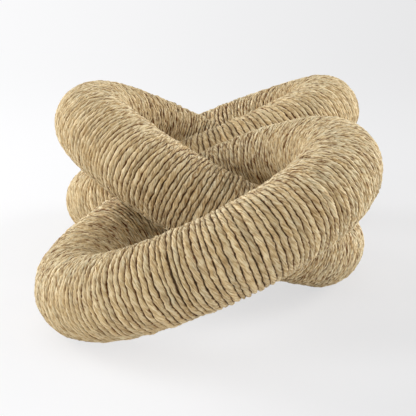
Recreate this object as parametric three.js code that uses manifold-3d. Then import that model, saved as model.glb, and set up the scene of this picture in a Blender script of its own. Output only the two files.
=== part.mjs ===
// Chain link ornament: three interlocked oval rings in a pile, drawn out along Y and resting on a
// table. Each ring is a wooden core in two halves, pinned with two dowels and wound all over with
// one cord.
// Millimetres, +Z up. +X is to the right and +Y away from a viewer who faces the front link. The
// origin is the middle of the bounding box's base.
import * as THREE from 'three';
import { mergeVertices } from 'three/addons/utils/BufferGeometryUtils.js';
import Module from 'manifold-3d';

const wasm = await Module();
wasm.setup();

// Driving dimensions
const CORE_D = 50; // wooden core, across its round section
const CORD_D = 4.6; // cord, across
const DOWEL_D = 12;
const DOWEL_LENGTH = 28;

// Clearances
const SEAT_GAP = 0.4; // cord to core
const BUTT_GAP = 0.3; // one core half to the other
const BORE_GAP = 0.3; // dowel to its bore, all round
const BORE_SPARE = 0.5; // bore past the dowel's end
const TURN_GAP = 1.2; // one turn of the winding to the next, on the middle line's pitch
const END_GAP = 1.2; // the winding's end to its start
const LINK_GAP = 0.35; // one link to the link it bears on
const HOLE_PLAY = 3; // across half a link's hole, which lets the tubes of two neighbours pass abreast
const FOOT_DEPTH = 0.5; // how far the cord is flattened where a link rests on the table

// The winding: each modelled turn is as wide as about seven of the real cord
const LOOPS = 24;
const LOOP_STEPS = 12;
const START_ANGLE = 270; // where its ends meet, in degrees round the section from its outer side
const SHOULDER_ALONG = 0.72; // of half the turn's width
const SHOULDER_UP = 0.72; // of the turn's height

// How finely the core and the dowels are faceted
const CORE_SIDES = 16;
const CORE_STEPS = 22;
const DOWEL_SIDES = 24;

// The links are handmade: the length of each one's two straight sides, on the middle line, differs.
// Then how each one lies: heading, rise and roll of its long axis in degrees, and its shift to the
// right of the middle link. A link that is drawn goes along Y, that way, until it bears on it.
const LINKS = [
  { name: 'middle_link', straight: 27, heading: -53.4, rise: -15.2, roll: -22.6, shift: 0, drawn: 0 },
  { name: 'front_link', straight: 17, heading: -10.3, rise: 24.8, roll: 5.6, shift: -2, drawn: -1 },
  { name: 'back_link', straight: 22, heading: -11.7, rise: 22.6, roll: -0.6, shift: 2.1, drawn: 1 },
];

const CORE_R = CORE_D / 2;
const LINK_R = CORE_R + SEAT_GAP + CORD_D; // a wound link's tube
const BEND_R = 3 * LINK_R + HOLE_PLAY; // middle line of the core, in the round ends

const WOOD = new THREE.MeshStandardMaterial({ color: 0xb08a5a, roughness: 0.7, metalness: 0 });
const CORD = new THREE.MeshStandardMaterial({ color: 0xae9975, roughness: 0.9, metalness: 0 });

// The middle line of a link, flat in its own XY plane, from the middle of the side at -Y towards
// +X. Gives the point and the outward direction at a length along it.
function lineLength(link) {
  return 2 * link.straight + 2 * Math.PI * BEND_R;
}

function middleLine(link, length) {
  const along = THREE.MathUtils.euclideanModulo(length, lineLength(link));
  const half = lineLength(link) / 2;
  const turned = along >= half;
  const rest = turned ? along - half : along;
  const bend = Math.PI * BEND_R;
  const point = new THREE.Vector3();
  const outward = new THREE.Vector3(0, -1, 0);
  if (rest < link.straight / 2) {
    point.set(rest, -BEND_R, 0);
  } else if (rest < link.straight / 2 + bend) {
    const angle = (rest - link.straight / 2) / BEND_R - Math.PI / 2;
    outward.set(Math.cos(angle), Math.sin(angle), 0);
    point.set(link.straight / 2, 0, 0).addScaledVector(outward, BEND_R);
  } else {
    outward.set(0, 1, 0);
    point.set(half - rest, BEND_R, 0);
  }
  if (turned) {
    point.set(-point.x, -point.y, 0);
    outward.negate();
  }
  return { point, outward };
}

// Solids from geometry, and back

function solid(geometry) {
  const bare = geometry.clone();
  bare.deleteAttribute('normal');
  bare.deleteAttribute('uv');
  const merged = mergeVertices(bare, 1e-3);
  return new wasm.Manifold(
    new wasm.Mesh({
      numProp: 3,
      vertProperties: new Float32Array(merged.attributes.position.array),
      triVerts: new Uint32Array(merged.index.array),
    }),
  );
}

function geometryOf(made) {
  const mesh = made.getMesh();
  const geometry = new THREE.BufferGeometry();
  geometry.setAttribute('position', new THREE.BufferAttribute(mesh.vertProperties, 3));
  geometry.setIndex(new THREE.BufferAttribute(mesh.triVerts, 1));
  geometry.computeVertexNormals();
  return geometry;
}

// A cylinder that lies along X
function rodAlongX(diameter, length) {
  const rod = new THREE.CylinderGeometry(diameter / 2, diameter / 2, length, DOWEL_SIDES);
  return rod.rotateZ(Math.PI / 2);
}

// One core half, on the +X side of the link, bored for both dowels

class HalfLine extends THREE.Curve {
  constructor(link) {
    super();
    this.link = link;
  }

  getPoint(t, target = new THREE.Vector3()) {
    const end = lineLength(this.link) / 2 - BUTT_GAP / 2;
    return target.copy(middleLine(this.link, THREE.MathUtils.lerp(BUTT_GAP / 2, end, t)).point);
  }
}

function coreHalf(link) {
  const section = new THREE.Shape().absarc(0, 0, CORE_R, 0, 2 * Math.PI);
  const bar = new THREE.ExtrudeGeometry(section, {
    extrudePath: new HalfLine(link),
    steps: CORE_STEPS,
    curveSegments: CORE_SIDES / 2,
  });
  let half = solid(bar);
  for (const side of [-1, 1]) {
    const bore = rodAlongX(DOWEL_D + 2 * BORE_GAP, DOWEL_LENGTH + 2 * BORE_SPARE);
    bore.translate(0, side * BEND_R, 0);
    half = half.subtract(solid(bore));
  }
  return geometryOf(half);
}

// The winding: one unbroken flat tube round and round the core, with its two ends meeting

// A point on the tube, by the number of turns wound, across the turn from -1 to 1, and up from the
// core's surface from 0 to 1.
function windingPoint(link, turns, across, up) {
  const pitch = lineLength(link) / LOOPS;
  const angle = THREE.MathUtils.degToRad(START_ANGLE + 360 * turns);
  const half = (pitch - TURN_GAP) / 2;
  const { point, outward } = middleLine(link, pitch * turns + across * half);
  const lean = Math.cos(angle);
  // A flat-bottomed turn is a chord of the core's outer side, and of its round section
  const spread = (pitch / BEND_R) ** 2 * (BEND_R + CORE_R * lean);
  const chordRise = Math.max(0, (spread * lean) / 8);
  const low = (CORE_R + SEAT_GAP + chordRise) / Math.cos(Math.PI / LOOP_STEPS);
  const radius = THREE.MathUtils.lerp(low, LINK_R, up);
  point.addScaledVector(outward, radius * lean);
  point.z += radius * Math.sin(angle);
  return point;
}

const TURN_SECTION = [
  [-1, 0],
  [-SHOULDER_ALONG, SHOULDER_UP],
  [0, 1],
  [SHOULDER_ALONG, SHOULDER_UP],
  [1, 0],
];

// The rings of points along the tube, from its start to its end
function windingRings(link) {
  const startTurns = END_GAP / 2 / (2 * Math.PI * CORE_R);
  const steps = LOOPS * LOOP_STEPS;
  const rings = [];
  for (let step = 0; step <= steps; step += 1) {
    const turns = THREE.MathUtils.lerp(startTurns, LOOPS - startTurns, step / steps);
    rings.push(TURN_SECTION.map(([across, up]) => windingPoint(link, turns, across, up)));
  }
  return rings;
}

function winding(rings) {
  const sides = TURN_SECTION.length;
  const positions = rings.flat().flatMap((p) => [p.x, p.y, p.z]);
  const index = [];
  for (let ring = 0; ring + 1 < rings.length; ring += 1) {
    for (let side = 0; side < sides; side += 1) {
      const a = ring * sides + side;
      const b = ring * sides + ((side + 1) % sides);
      index.push(a, b, b + sides, a, b + sides, a + sides);
    }
  }
  const last = (rings.length - 1) * sides;
  for (let side = 1; side + 1 < sides; side += 1) {
    index.push(0, side + 1, side);
    index.push(last, last + side, last + side + 1);
  }
  const geometry = new THREE.BufferGeometry();
  geometry.setAttribute('position', new THREE.Float32BufferAttribute(positions, 3));
  geometry.setIndex(index);
  return geometry;
}

// The least distance between points of the winding that lie half a turn or more apart along it
function leastSelfGap(rings) {
  let least = Infinity;
  const apart = LOOP_STEPS / 2;
  for (let i = 0; i < rings.length; i += 1) {
    for (let j = i + apart; j < rings.length; j += 1) {
      for (const p of rings[i]) {
        for (const q of rings[j]) least = Math.min(least, p.distanceTo(q));
      }
    }
  }
  return least;
}

// How the links lie

function turnOf(link) {
  const { degToRad } = THREE.MathUtils;
  return new THREE.Euler(degToRad(link.roll), -degToRad(link.rise), degToRad(link.heading), 'ZYX');
}

// The height of a link's middle at which its lowest point is pressed to the foot's depth
function restHeight(link, rings) {
  const turn = turnOf(link);
  const heights = rings.flat().map((p) => p.clone().applyEuler(turn).z);
  return -Math.min(...heights) - FOOT_DEPTH;
}

const DRAW_STEPS = 16;
const FACING_DEPTH = 4; // how near to each other two windings are looked at

// How near points of the pile come to a link's middle line
function leastReach(link, points) {
  const back = new THREE.Quaternion().setFromEuler(turnOf(link)).invert();
  const half = link.straight / 2;
  const reaches = points.map((point) => {
    const own = point.clone().sub(link.place).applyQuaternion(back);
    const beside = own.x - THREE.MathUtils.clamp(own.x, -half, half);
    return Math.hypot(Math.hypot(beside, own.y) - BEND_R, own.z);
  });
  return Math.min(...reaches);
}

function placedLine(link) {
  const points = [];
  for (let turn = 0; turn < LOOPS; turn += 1 / LOOP_STEPS) {
    const { point } = middleLine(link, (lineLength(link) * turn) / LOOPS);
    points.push(point.applyEuler(turnOf(link)).add(link.place));
  }
  return points;
}

// The triangles of a link's winding, as it lies, that another link's winding comes close to
function facing(link, other) {
  const placed = link.wound.attributes.position.clone();
  const matrix = new THREE.Matrix4().makeRotationFromEuler(turnOf(link)).setPosition(link.place);
  placed.applyMatrix4(matrix);
  const triangles = [];
  for (let i = 0; i < link.wound.index.count; i += 3) {
    const [a, b, c] = [0, 1, 2].map((corner) =>
      new THREE.Vector3().fromBufferAttribute(placed, link.wound.index.getX(i + corner)),
    );
    if (leastReach(other, [a, b, c]) > LINK_R + FACING_DEPTH) continue;
    const edges = [new THREE.Line3(a, b), new THREE.Line3(b, c), new THREE.Line3(c, a)];
    triangles.push({ corners: [a, b, c], edges, face: new THREE.Triangle(a, b, c) });
  }
  return triangles;
}

function triangleGap(one, other) {
  const nearest = new THREE.Vector3();
  let least = Infinity;
  for (const edge of one.edges) {
    for (const crossing of other.edges) {
      least = Math.min(least, Math.sqrt(edge.distanceSqToLine3(crossing)));
    }
  }
  for (const [from, to] of [[one, other], [other, one]]) {
    for (const corner of from.corners) {
      least = Math.min(least, to.face.closestPointToPoint(corner, nearest).distanceTo(corner));
    }
  }
  return least;
}

// Draws a link out from the middle one, along Y, until the two bear on each other, first as plain
// tubes and then turn on turn. A step is as long as the gap is wide, so it never goes too far.
function drawOut(link, middle) {
  link.place.y = link.drawn * BEND_R; // with the strand in the middle of the hole
  for (let step = 0; step < DRAW_STEPS; step += 1) {
    link.place.y += link.drawn * (leastReach(middle, placedLine(link)) - 2 * LINK_R);
  }
  const held = facing(middle, link);
  for (let step = 0; step < DRAW_STEPS; step += 1) {
    const holding = facing(link, middle);
    let gap = Infinity;
    for (const one of holding) {
      for (const two of held) gap = Math.min(gap, triangleGap(one, two));
    }
    link.place.y += link.drawn * (gap - LINK_GAP);
  }
}

const [middle] = LINKS;
for (const link of LINKS) {
  const rings = windingRings(link);
  console.log(`least gap of the ${link.name} winding to itself, mm: ` + leastSelfGap(rings).toFixed(2));
  link.wound = winding(rings);
  link.place = new THREE.Vector3(link.shift, 0, restHeight(link, rings));
  if (link.drawn) drawOut(link, middle);
}

// The assembly

function mesh(name, geometry, material) {
  const made = new THREE.Mesh(geometry, material);
  made.name = name;
  return made;
}

// The table's space, seen from a link, which flattens the cord that rests on it
function tableSeenFrom(group, link) {
  const size = 2 * lineLength(link);
  const block = new THREE.BoxGeometry(size, size, size).translate(0, 0, -size / 2);
  group.updateMatrix();
  return solid(block.applyMatrix4(group.matrix.clone().invert()));
}

function linkGroup(link) {
  const group = new THREE.Group();
  group.position.copy(link.place);
  group.rotation.copy(turnOf(link));

  const right = mesh(link.name + '_core_right', coreHalf(link), WOOD);
  const left = mesh(link.name + '_core_left', coreHalf(link), WOOD);
  left.rotation.z = Math.PI;
  group.add(right, left);

  for (const [place, side] of [['near', -1], ['far', 1]]) {
    const dowel = mesh(link.name + '_dowel_' + place, rodAlongX(DOWEL_D, DOWEL_LENGTH), WOOD);
    dowel.position.y = side * BEND_R;
    group.add(dowel);
  }

  const wound = solid(link.wound).subtract(tableSeenFrom(group, link));
  group.add(mesh(link.name + '_winding', geometryOf(wound), CORD));
  return group;
}

const ornament = new THREE.Group();
for (const link of LINKS) ornament.add(linkGroup(link));
ornament.updateMatrixWorld(true);
const box = new THREE.Box3().setFromObject(ornament, true);
const centre = box.getCenter(new THREE.Vector3());
ornament.position.set(-centre.x, -centre.y, -box.min.z);

export default ornament;
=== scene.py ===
import math

import bpy
import numpy as np
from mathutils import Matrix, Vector


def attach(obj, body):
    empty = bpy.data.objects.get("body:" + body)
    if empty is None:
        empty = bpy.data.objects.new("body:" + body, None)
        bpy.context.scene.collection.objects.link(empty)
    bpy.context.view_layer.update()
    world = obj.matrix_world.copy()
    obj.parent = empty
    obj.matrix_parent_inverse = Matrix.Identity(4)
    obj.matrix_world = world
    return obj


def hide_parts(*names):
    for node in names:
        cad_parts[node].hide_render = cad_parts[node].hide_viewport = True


# Chain link ornament: three interlocked rings in a pile, each a wooden core wound all over with
# twisted plant fibre cord. Metres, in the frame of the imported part.

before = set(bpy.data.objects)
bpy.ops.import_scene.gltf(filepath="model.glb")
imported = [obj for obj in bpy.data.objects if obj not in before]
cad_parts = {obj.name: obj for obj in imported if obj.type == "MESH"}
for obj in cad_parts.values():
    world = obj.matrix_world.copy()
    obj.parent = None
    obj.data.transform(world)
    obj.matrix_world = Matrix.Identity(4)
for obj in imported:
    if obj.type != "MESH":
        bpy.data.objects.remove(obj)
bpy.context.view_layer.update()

MM = 0.001
LINKS = ("front_link", "middle_link", "back_link")

# The cord, in millimetres
CORD_THICKNESS = 4.6
CORD_PITCH = {"front_link": 3.45, "middle_link": 3.15, "back_link": 3.7}  # on a link's middle line
LAY_LENGTH = 42.0  # one full twist
PROUD = 0.5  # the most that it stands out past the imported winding
PRESSED_GAP = 0.15  # left between two cords that bear on each other

# How it lies, in shares
END_CROWDING = 0.12  # of the pitch: closer turns at a link's ends, wider ones along its sides
FILL = 0.975  # of its room that a turn fills
LEAST_ROOM = 0.3  # of the pitch, at the narrowest turn
FULL_CROWDING = 0.5  # of the thickness: turns this much too close sink in full
FLATTENING = 0.04  # of its height, lost by lying tight
FIBRE_ROUGHNESS = 0.06  # of its section's radius

# Its section is two yarns side by side, in shares of half its thickness. The power under 1 makes it
# a little squarer than round.
YARN_SPACING = 0.05
YARN_RADIUS = 0.95
SQUARENESS = 0.96

# How unevenly it lies, in layers: how many knots a turn has, and the most that a knot strays
WANDER = ((3, 0.65), (9, 0.4), (24, 0.32), (60, 0.42))  # the line between two turns, in millimetres
SWELL = ((2, 0.09), (15, 0.08))  # its height, in shares
LAY_UNEVEN = ((2, 0.12), (7, 0.12))  # its twist, in shares
FILL_UNEVEN = ((5, 0.03), (28, 0.07), (66, 0.08))  # how well it fills its room, in shares
CROWDED_FILL = ((40, 0.42),)  # the same again, times how much the turns crowd
SINKING = ((9, 0.5), (40, 1.1))  # how deep crowded turns sink, in millimetres
SEEDS = {"front_link": 100, "middle_link": 200, "back_link": 300}

# How finely it is made
STEPS_PER_TURN = 132
RING_ANGLES = (-90, -58, -22, 22, 58)  # of the points on each half of a ring, in degrees
STRETCHES = 3  # pieces of each link's cord

# Where it bears on another link
BEARING_REACH = 1.2  # how near it comes before it is pushed back, in that link's radii
PUSHES = 3


class Link:
    """The shape and place of one link, read from its core, dowels and winding."""

    def __init__(self, name):
        self.name = name
        near, far = (self.corners(f"{name}_dowel_{side}") for side in ("near", "far"))
        self.centre = (near.mean(0) + far.mean(0)) / 2
        y_axis = far.mean(0) - near.mean(0)
        self.bend_radius = np.linalg.norm(y_axis) / 2
        y_axis /= np.linalg.norm(y_axis)
        # A dowel's long direction is the one in which its corners spread most
        x_axis = np.linalg.svd(near - near.mean(0))[2][0]
        right = self.corners(f"{name}_core_right").mean(0) - self.centre
        x_axis *= np.sign(x_axis @ right)
        x_axis -= y_axis * (x_axis @ y_axis)
        x_axis /= np.linalg.norm(x_axis)
        self.axes = np.array([x_axis, y_axis, np.cross(x_axis, y_axis)])
        core = self.to_own(self.corners(f"{name}_core_right"))
        wound = self.to_own(self.corners(f"{name}_winding"))
        core_radius = np.ptp(core[:, 2]) / 2
        self.outer_radius = wound[:, 2].max()
        self.straight = 2 * (core[:, 0].max() - self.bend_radius - core_radius)
        self.length = 2 * self.straight + 2 * math.pi * self.bend_radius
        self.turns = round(self.length / (CORD_PITCH[name] * MM))

    @staticmethod
    def corners(node):
        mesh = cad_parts[node].data
        places = np.empty(len(mesh.vertices) * 3)
        mesh.vertices.foreach_get("co", places)
        return np.unique(places.reshape(-1, 3).round(7), axis=0)

    def to_own(self, points):
        return (points - self.centre) @ self.axes.T

    def to_part(self, points):
        return points @ self.axes + self.centre

    def middle_line(self, along):
        """Points and outward directions at lengths along the core's middle line."""
        half = self.length / 2
        along = np.mod(along, self.length)
        turned = along >= half
        rest = along - np.where(turned, half, 0)
        bend = math.pi * self.bend_radius
        on_near = rest < self.straight / 2
        on_far = rest >= self.straight / 2 + bend
        angle = (rest - self.straight / 2) / self.bend_radius - math.pi / 2
        angle = np.where(on_near, -math.pi / 2, np.where(on_far, math.pi / 2, angle))
        outward = np.stack([np.cos(angle), np.sin(angle), np.zeros_like(angle)], -1)
        centre_x = np.where(on_near, rest, np.where(on_far, half - rest, self.straight / 2))
        points = outward * self.bend_radius
        points[..., 0] += centre_x
        sign = np.where(turned, -1.0, 1.0)[..., None] * np.array([1, 1, 0])
        return points * sign, outward * sign

    def from_bends(self, own):
        """How far own points lie past the straights' ends, and from the line between the bends' middles."""
        half = self.straight / 2
        beside = own[..., 0] - np.clip(own[..., 0], -half, half)
        return beside, np.hypot(beside, own[..., 1])

    def reach(self, points):
        """How far points of the part are from the core's middle line."""
        own = self.to_own(points)
        _, out = self.from_bends(own)
        return np.hypot(out - self.bend_radius, own[..., 2])


class Unevenness:
    """A value that wanders along the cord, straight between random knots."""

    SPARE_TURNS = 2

    def __init__(self, turns, seed, layers):
        random = np.random.default_rng(seed)
        self.layers = []
        for knots_per_turn, amount in layers:
            count = knots_per_turn * (turns + 2 * self.SPARE_TURNS)
            self.layers.append((knots_per_turn, random.uniform(-amount, amount, count)))

    def __call__(self, turns):
        total = np.zeros_like(turns)
        for knots_per_turn, knots in self.layers:
            place = (turns + self.SPARE_TURNS) * knots_per_turn
            total += np.interp(place, np.arange(len(knots)), knots)
        return total


def squared(value):
    """A sine or cosine, drawn out so that the circle it makes is a little squarer."""
    return np.sign(value) * abs(value) ** SQUARENESS


def cord_rings(link, seed):
    """The rings of points along a link's whole cord, and what its material needs at each point."""
    thickness = CORD_THICKNESS * MM
    steps = link.turns * STEPS_PER_TURN
    turns = np.linspace(0, link.turns, steps + 1)
    around = 2 * math.pi * turns - math.pi / 2
    # The turns lie closer at the link's two ends than along its sides
    wave = 4 * math.pi / link.turns
    even = link.length / link.turns
    pitch = even * (1 + END_CROWDING * np.cos(wave * turns))
    along = even * (turns + END_CROWDING / wave * np.sin(wave * turns))
    wander = Unevenness(link.turns, seed, WANDER)
    swell = Unevenness(link.turns, seed + 1, SWELL)
    sinking = Unevenness(link.turns, seed + 5, SINKING)
    lay = Unevenness(link.turns, seed + 2, LAY_UNEVEN)
    fill = Unevenness(link.turns, seed + 4, FILL_UNEVEN)
    parting = Unevenness(link.turns, seed + 6, CROWDED_FILL)

    # Two turns share the wandering line between them
    low = along - pitch / 2 + wander(turns - 0.5) * MM
    high = along + pitch / 2 + wander(turns + 0.5) * MM
    middle = (low + high) / 2
    # Turns that crowd together, as on a ring's inner side, sink and part unevenly
    spread = pitch * (1 + link.outer_radius * np.cos(around) / link.bend_radius)
    crowding = np.clip(1 - spread / thickness, 0, 1)
    parted = parting(turns) * crowding
    fullness = FILL + fill(turns) + parted
    half_width = np.maximum(high - low, LEAST_ROOM * pitch) / 2 * fullness

    # The cord's section, which turns with its twist. In it the place across goes from -1 to 1, and
    # the place up from 0 at the core to 1 at the top.
    turn_length = 2 * math.pi * (link.outer_radius - thickness / 2)
    twist = np.cumsum(1 + lay(turns)) * turn_length / STEPS_PER_TURN / (LAY_LENGTH * MM) * 2 * math.pi
    ring = np.radians([angle + half for half in (0, 180) for angle in RING_ANGLES])
    bulge = YARN_SPACING * abs(np.cos(ring)) + np.sqrt(YARN_RADIUS**2 - (YARN_SPACING * np.sin(ring)) ** 2)
    random = np.random.default_rng(seed + 3)
    bulge = bulge * (1 + random.normal(0, FIBRE_ROUGHNESS, (steps + 1, len(ring))))
    section = ring + twist[:, None]
    across = bulge * squared(np.cos(section))
    up = (1 + bulge * squared(np.sin(section))) / 2

    height = thickness * (1 - FLATTENING + swell(turns))
    sunk = crowding / FULL_CROWDING * abs(sinking(turns)) * MM
    base = link.outer_radius - thickness - sunk
    radius = np.minimum(base[:, None] + height[:, None] * up, link.outer_radius + PROUD * MM)
    points, outward = link.middle_line(middle[:, None] + across * half_width[:, None])
    own = points + outward * (radius * np.cos(around)[:, None])[..., None]
    own[..., 2] += radius * np.sin(around)[:, None]

    # Places along the cord and across its own section, without the twist
    wide = half_width[:, None] * np.cos(section)
    tall = thickness / 2 * np.sin(section)
    cosine = np.cos(twist)[:, None]
    sine = np.sin(twist)[:, None]
    length = np.broadcast_to((turns * turn_length)[:, None], section.shape)
    lay_place = np.stack([length, wide * cosine + tall * sine, tall * cosine - wide * sine], -1)
    # The height in the section, plus the parting of crowded turns, sets how dark the painted shade in the
    # grooves is
    depth = np.clip(up, 0, 1) * bulge + parted[:, None]
    return link.to_part(own), lay_place, depth, np.broadcast_to(crowding[:, None], section.shape)


def pressed(points, link, others):
    """Points of a link's cord, pushed back where it bears on another link or on the table."""
    shape = points.shape
    points = points.reshape(-1, 3)
    for other in others:
        close = np.flatnonzero(other.reach(points) < BEARING_REACH * other.outer_radius)
        near = points[close]
        for _ in range(PUSHES):
            own = link.to_own(near)
            beside, out = link.from_bends(own)
            line = np.stack([own[:, 0] - beside + beside / out * link.bend_radius,
                             own[:, 1] / out * link.bend_radius, np.zeros(len(own))], -1)
            inward = line - own
            reach = np.linalg.norm(inward, axis=1)
            over = np.maximum(reach + PRESSED_GAP * MM - other.reach(near), 0) / 2
            near = link.to_part(own + inward * (over / reach)[:, None])
        points[close] = near
    points[:, 2] = np.maximum(points[:, 2], 0)
    return points.reshape(shape)


def cord_piece(name, points, lay_place, depth, crowding):
    """One stretch of cord as a closed mesh."""
    rings, sides = points.shape[:2]
    ring, side = np.meshgrid(np.arange(rings - 1), np.arange(sides), indexing="ij")
    after = (side + 1) % sides
    quads = np.stack(
        [ring * sides + side, ring * sides + after, (ring + 1) * sides + after, (ring + 1) * sides + side],
        -1,
    ).reshape(-1, 4)
    mesh = bpy.data.meshes.new(name)
    ends = [list(range(sides))[::-1], list(range((rings - 1) * sides, rings * sides))]
    corners = np.concatenate([quads.ravel(), *map(np.array, ends)])
    totals = np.concatenate([np.full(len(quads), 4), [sides, sides]])
    starts = np.concatenate([[0], np.cumsum(totals)[:-1]])
    mesh.vertices.add(rings * sides)
    mesh.vertices.foreach_set("co", points.astype(np.float32).ravel())
    mesh.loops.add(len(corners))
    mesh.loops.foreach_set("vertex_index", corners.astype(np.int32))
    mesh.polygons.add(len(totals))
    mesh.polygons.foreach_set("loop_start", starts.astype(np.int32))
    mesh.polygons.foreach_set("loop_total", totals.astype(np.int32))
    mesh.polygons.foreach_set("use_smooth", np.ones(len(totals), bool))
    mesh.update(calc_edges=True)
    mesh.validate()
    place = mesh.attributes.new("lay_place", "FLOAT_VECTOR", "POINT")
    place.data.foreach_set("vector", lay_place.astype(np.float32).ravel())
    for layer_name, values in (("depth", depth), ("crowding", crowding)):
        layer = mesh.attributes.new(layer_name, "FLOAT", "POINT")
        layer.data.foreach_set("value", values.astype(np.float32).ravel())
    piece = bpy.data.objects.new(name, mesh)
    bpy.context.scene.collection.objects.link(piece)
    return piece


# Materials

# The colour sockets of a Mix node, which share their names with its other sockets
MIX_INPUTS = (0, 6, 7)
MIX_RESULT = 2


def new_material(name):
    material = bpy.data.materials.new(name)
    material.use_nodes = True
    nodes, links = material.node_tree.nodes, material.node_tree.links
    return material, nodes, links, nodes["Principled BSDF"]


def noise(nodes, links, vector, scale, detail=2.0, roughness=0.5):
    """A noise texture read at a vector scaled by three factors."""
    mapping = nodes.new("ShaderNodeMapping")
    mapping.inputs["Scale"].default_value = scale
    texture = nodes.new("ShaderNodeTexNoise")
    texture.inputs["Scale"].default_value = 1.0
    texture.inputs["Detail"].default_value = detail
    texture.inputs["Roughness"].default_value = roughness
    links.new(vector, mapping.inputs["Vector"])
    links.new(mapping.outputs["Vector"], texture.inputs["Vector"])
    return texture.outputs["Fac"]


def attribute(nodes, name):
    node = nodes.new("ShaderNodeAttribute")
    node.attribute_name = name
    return node


def ramp(nodes, links, value, stops):
    """A colour ramp from pairs of position and linear colour."""
    node = nodes.new("ShaderNodeValToRGB")
    elements = node.color_ramp.elements
    while len(elements) < len(stops):
        elements.new(0.5)
    for element, (position, colour) in zip(elements, stops):
        element.position = position
        element.color = (*colour, 1)
    links.new(value, node.inputs["Fac"])
    return node.outputs["Color"]


def mix(nodes, links, factor, a, b, blend="MIX"):
    """A mixed colour. Its factor and its two colours are sockets or values."""
    node = nodes.new("ShaderNodeMix")
    node.data_type = "RGBA"
    node.blend_type = blend
    for index, value in zip(MIX_INPUTS, (factor, a, b)):
        if isinstance(value, bpy.types.NodeSocket):
            links.new(value, node.inputs[index])
        elif isinstance(value, tuple):
            node.inputs[index].default_value = (*value, 1)
        else:
            node.inputs[index].default_value = value
    return node.outputs[MIX_RESULT]


def calculate(nodes, links, operation, a, b):
    """The result of a sum, product or other operation on two sockets or values."""
    node = nodes.new("ShaderNodeMath")
    node.operation = operation
    for socket, value in zip(node.inputs, (a, b)):
        if isinstance(value, bpy.types.NodeSocket):
            links.new(value, socket)
        else:
            socket.default_value = value
    return node.outputs["Value"]


def srgb(red, green, blue):
    """A linear colour from a written one, 0 to 255."""
    return tuple(((c / 255 + 0.055) / 1.055) ** 2.4 for c in (red, green, blue))


def grey(share):
    return (share, share, share)


# The cord's colours
WHITE = grey(1.0)
# Painted highlight colour for the glinting fibres
PAINTED_GLINT_COLOUR = srgb(252, 238, 202)
PALE = srgb(250, 239, 206)
STRAW = srgb(231, 206, 158)
MIDDLE_TONE = srgb(214, 186, 136)
TAN = srgb(199, 168, 117)
BROWN = srgb(150, 112, 70)
LINE_BROWN = srgb(140, 108, 70)
# Painted shade: the colour that the grooves between turns are darkened towards
GROOVE_SHADE_COLOUR = srgb(148, 101, 63)
GREY_GREEN = srgb(203, 193, 160)
ORANGE = srgb(220, 186, 126)
DULL = srgb(220, 217, 212)

# How fine the cord's patterns are, per metre along it and in both directions across it
STRAND_SCALE = (190, 900, 900)
FIBRE_SCALE = (170, 1250, 1250)
PATCH_SCALE = (45, 110, 110)
STRETCH_SCALE = (5.3, 5, 5)

# The colours and shares that go with the patterns, with the height in the cord's section, which sets the
# painted shade in the grooves, and with the crowding of its turns. The pale fibres are painted highlights.
STRAND_COLOURS = ((0.37, BROWN), (0.45, TAN), (0.51, STRAW), (0.58, PALE))
PATCH_TINTS = ((0.34, GREY_GREEN), (0.46, STRAW), (0.56, STRAW), (0.68, ORANGE))
STRETCH_TONES = ((0.35, DULL), (0.65, WHITE))
DARK_LINES = ((0.33, LINE_BROWN), (0.46, WHITE))
PAINTED_GLINTS = ((0.54, grey(0)), (0.64, grey(0.4)))
PAINTED_GROOVE_SHADING = ((0.58, GROOVE_SHADE_COLOUR), (0.78, WHITE))
CONTRASTS = ((0.0, grey(0.5)), (0.2, grey(1.0)), (0.28, grey(1.0)), (0.45, grey(0.7)))
TINT_SHARE = 0.3
STRAND_BUMP = 0.6 * MM

# The wood, which the cord covers, with its grain along X
WOOD_SCALE = (30, 400, 400)
WOOD_COLOURS = ((0.3, srgb(150, 112, 72)), (0.7, srgb(196, 158, 112)))


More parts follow.
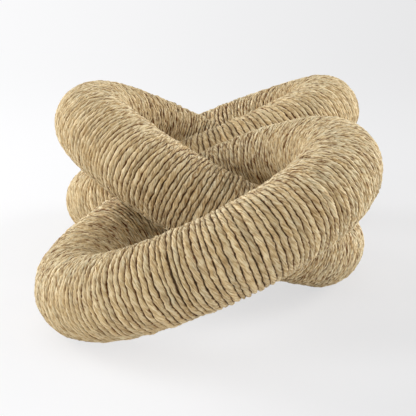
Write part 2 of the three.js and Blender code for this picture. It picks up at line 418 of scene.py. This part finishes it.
def cord_material():
    """Dull plant fibre: light and dark strands along the lay, tinted patches, a few fibres with painted
    highlights and painted shade in the grooves.
    """
    material, nodes, links, shader = new_material("twisted_plant_fibre")
    lay_place = attribute(nodes, "lay_place").outputs["Vector"]
    depth = attribute(nodes, "depth").outputs["Fac"]
    crowding = attribute(nodes, "crowding").outputs["Fac"]

    strands = noise(nodes, links, lay_place, STRAND_SCALE, detail=2.0, roughness=0.6)
    fibres = noise(nodes, links, lay_place, FIBRE_SCALE, detail=1.0, roughness=0.6)
    patches = noise(nodes, links, lay_place, PATCH_SCALE, detail=1.0)
    stretches = noise(nodes, links, lay_place, STRETCH_SCALE, detail=2.0)

    colour = ramp(nodes, links, strands, STRAND_COLOURS)
    # Where the turns crowd their fibres lie more unevenly, and less so again where they pack tight
    contrast = ramp(nodes, links, crowding, CONTRASTS)
    colour = mix(nodes, links, contrast, MIDDLE_TONE, colour)
    tint = ramp(nodes, links, patches, PATCH_TINTS)
    colour = mix(nodes, links, TINT_SHARE, colour, tint)
    tone = ramp(nodes, links, stretches, STRETCH_TONES)
    colour = mix(nodes, links, 1.0, colour, tone, "MULTIPLY")
    lines = ramp(nodes, links, fibres, DARK_LINES)
    colour = mix(nodes, links, contrast, colour, lines, "MULTIPLY")
    # Painted highlights: a few fibres are painted near white, as glints where they catch the light
    pale = ramp(nodes, links, fibres, PAINTED_GLINTS)
    colour = mix(nodes, links, calculate(nodes, links, "MULTIPLY", contrast, pale), colour, PAINTED_GLINT_COLOUR)
    # Painted shade: darker low on each turn's flanks, in the grooves between turns
    shade = ramp(nodes, links, depth, PAINTED_GROOVE_SHADING)
    colour = mix(nodes, links, 1.0, colour, shade, "MULTIPLY")
    links.new(colour, shader.inputs["Base Color"])
    shader.inputs["Roughness"].default_value = 0.8
    shader.inputs["Specular IOR Level"].default_value = 0.3
    shader.inputs["Sheen Weight"].default_value = 0.25
    shader.inputs["Sheen Roughness"].default_value = 0.4
    shader.inputs["Sheen Tint"].default_value = (*PALE, 1)

    bump = nodes.new("ShaderNodeBump")
    bump.inputs["Strength"].default_value = 1.0
    bump.inputs["Distance"].default_value = STRAND_BUMP
    links.new(strands, bump.inputs["Height"])
    links.new(bump.outputs["Normal"], shader.inputs["Normal"])
    return material


def wood_material():
    material, nodes, links, shader = new_material("turned_wood")
    coordinates = nodes.new("ShaderNodeTexCoord")
    grain = noise(nodes, links, coordinates.outputs["Object"], WOOD_SCALE, detail=4.0)
    links.new(ramp(nodes, links, grain, WOOD_COLOURS), shader.inputs["Base Color"])
    shader.inputs["Roughness"].default_value = 0.7
    return material


# The pieces

links_of_chain = [Link(name) for name in LINKS]
cord_finish = cord_material()
wood_finish = wood_material()

for link in links_of_chain:
    others = [other for other in links_of_chain if other is not link]
    points, *values = cord_rings(link, SEEDS[link.name])
    points = pressed(points, link, others)
    cuts = [round(link.turns * part / STRETCHES) * STEPS_PER_TURN for part in range(STRETCHES + 1)]
    for part, (start, stop) in enumerate(zip(cuts, cuts[1:])):
        stretch = slice(start, stop + 1)
        name = f"{link.name}_cord_{part + 1}"
        piece = cord_piece(name, points[stretch], *(value[stretch] for value in values))
        piece.data.materials.append(cord_finish)
        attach(piece, link.name)
        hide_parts(f"{link.name}_winding")

for name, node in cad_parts.items():
    if not name.endswith("_winding"):
        node.data.materials.clear()
        node.data.materials.append(wood_finish)


# The floor, the light and the camera

# The camera looks along +Y and down, as in the photograph
VIEW_TARGET = Vector((-3.0, -13.8, 56.6)) * MM
VIEW_DISTANCE = 1180 * MM
VIEW_ELEVATION = math.radians(13.79)
VIEW_PLACE = VIEW_TARGET + VIEW_DISTANCE * Vector((0, -math.cos(VIEW_ELEVATION), math.sin(VIEW_ELEVATION)))
SENSOR = 36.0
LENS = 131.6

# The floor darkens to the right, a painted shade as the light falls off, over FLOOR_SPREAD times the
# photograph's width. Its shades follow lines that fan out from where the viewer stands, and run straight
# within FAN_START of the viewer.
FLOOR_SIZE = 12.0
FLOOR_LEFT = srgb(252, 252, 253)
FLOOR_RIGHT = srgb(230, 230, 231)
FLOOR_SPREAD = 1.6
FAN_START = 0.5 * VIEW_DISTANCE

# The share of the floor's brightness that the lamps give near the object, and the distances from
# the object between which it fades to none
SHADOW_SHARE = 0.25
SHADOW_REACH = (0.3, 1.3)

# How strongly the world lights the object, and how bright it shows past the floor
WORLD_STRENGTH = 0.32
BACKDROP_STRENGTH = 0.95

# Each lamp's place, width in metres and power in watts
LAMP_TARGET = Vector((0, 0, 0.05))
LAMPS = {
    "key": ((-0.6, -0.7, 2.4), 3.0, 21),
    "left": ((-1.7, 0.8, 0.8), 1.2, 25),
    "right": ((1.7, 0.7, 0.75), 1.2, 31),
    "front_left": ((-1.7, -1.0, 0.65), 1.0, 11),
    "front_right": ((1.7, -1.0, 0.65), 1.0, 9),
}


def seen_directly(nodes, links):
    """1 where the camera sees something itself, in a mirror or through glass, 0 where it only lights."""
    rays = nodes.new("ShaderNodeLightPath")
    seen = calculate(nodes, links, "MAXIMUM", rays.outputs["Is Camera Ray"], rays.outputs["Is Glossy Ray"])
    return calculate(nodes, links, "MAXIMUM", seen, rays.outputs["Is Transmission Ray"])


def smooth_step(nodes, links, value, start, stop, low=0.0, high=1.0):
    """A value that goes from low to high in a soft curve while another goes from start to stop."""
    node = nodes.new("ShaderNodeMapRange")
    node.interpolation_type = "SMOOTHSTEP"
    for name, number in (("From Min", start), ("From Max", stop), ("To Min", low), ("To Max", high)):
        node.inputs[name].default_value = number
    links.new(value, node.inputs["Value"])
    return node.outputs["Result"]


def floor_material():
    """A pale floor with faint shadows near the object."""
    material, nodes, links, shader = new_material("pale_floor")
    place = nodes.new("ShaderNodeTexCoord").outputs["Object"]
    split = nodes.new("ShaderNodeSeparateXYZ")
    links.new(place, split.inputs["Vector"])
    away = calculate(nodes, links, "SUBTRACT", split.outputs["Y"], VIEW_PLACE.y)
    away = calculate(nodes, links, "MAXIMUM", away, FAN_START)
    slope = calculate(nodes, links, "DIVIDE", split.outputs["X"], away)
    edge = FLOOR_SPREAD * SENSOR / LENS / 2
    spread = smooth_step(nodes, links, slope, -edge, edge)
    # Painted shade: the floor's colour darkens to the right
    colour = ramp(nodes, links, spread, ((0, FLOOR_LEFT), (1, FLOOR_RIGHT)))
    links.new(colour, shader.inputs["Base Color"])
    shader.inputs["Roughness"].default_value = 0.9
    shader.inputs["Specular IOR Level"].default_value = 0.0

    # Seen directly, most of the floor's brightness is its own, so that its shadows stay faint, and
    # all of it far from the object
    distance = nodes.new("ShaderNodeVectorMath")
    distance.operation = "LENGTH"
    links.new(place, distance.inputs[0])
    own_share = smooth_step(nodes, links, distance.outputs["Value"], *SHADOW_REACH, 1 - SHADOW_SHARE, 1.0)
    seen = seen_directly(nodes, links)
    glow = nodes.new("ShaderNodeEmission")
    links.new(colour, glow.inputs["Color"])
    blend = nodes.new("ShaderNodeMixShader")
    links.new(calculate(nodes, links, "MULTIPLY", seen, own_share), blend.inputs["Fac"])
    links.new(shader.outputs["BSDF"], blend.inputs[1])
    links.new(glow.outputs["Emission"], blend.inputs[2])
    links.new(blend.outputs["Shader"], nodes["Material Output"].inputs["Surface"])
    return material


def floor():
    bpy.ops.mesh.primitive_plane_add(size=FLOOR_SIZE)
    plane = bpy.context.object
    plane.name = "floor"
    plane.data.materials.append(floor_material())


def lamp(name, place, width, power):
    """A round soft lamp that is turned to the pile."""
    data = bpy.data.lights.new(name, "AREA")
    data.shape = "DISK"
    data.size = width
    data.energy = power
    light = bpy.data.objects.new(name, data)
    light.location = place
    light.rotation_euler = (LAMP_TARGET - Vector(place)).to_track_quat("-Z", "Y").to_euler()
    bpy.context.scene.collection.objects.link(light)


def studio():
    """The world: it lights the object evenly, and shows as a pale backdrop."""
    world = bpy.data.worlds.new("studio")
    world.use_nodes = True
    nodes, links = world.node_tree.nodes, world.node_tree.links
    background = nodes["Background"]
    background.inputs["Color"].default_value = (*WHITE, 1)
    seen = seen_directly(nodes, links)
    extra = calculate(nodes, links, "MULTIPLY", seen, BACKDROP_STRENGTH - WORLD_STRENGTH)
    strength = calculate(nodes, links, "ADD", extra, WORLD_STRENGTH)
    links.new(strength, background.inputs["Strength"])
    bpy.context.scene.world = world


def view():
    """The camera at the photograph's angle."""
    data = bpy.data.cameras.new("camera")
    data.sensor_width = SENSOR
    data.lens = LENS
    camera = bpy.data.objects.new("camera", data)
    camera.location = VIEW_PLACE
    camera.rotation_euler = (math.pi / 2 - VIEW_ELEVATION, 0, 0)
    bpy.context.scene.collection.objects.link(camera)
    bpy.context.scene.camera = camera


studio()
bpy.context.scene.view_settings.view_transform = "Standard"

floor()
for name, (place, width, power) in LAMPS.items():
    lamp(name, place, width, power)
view()
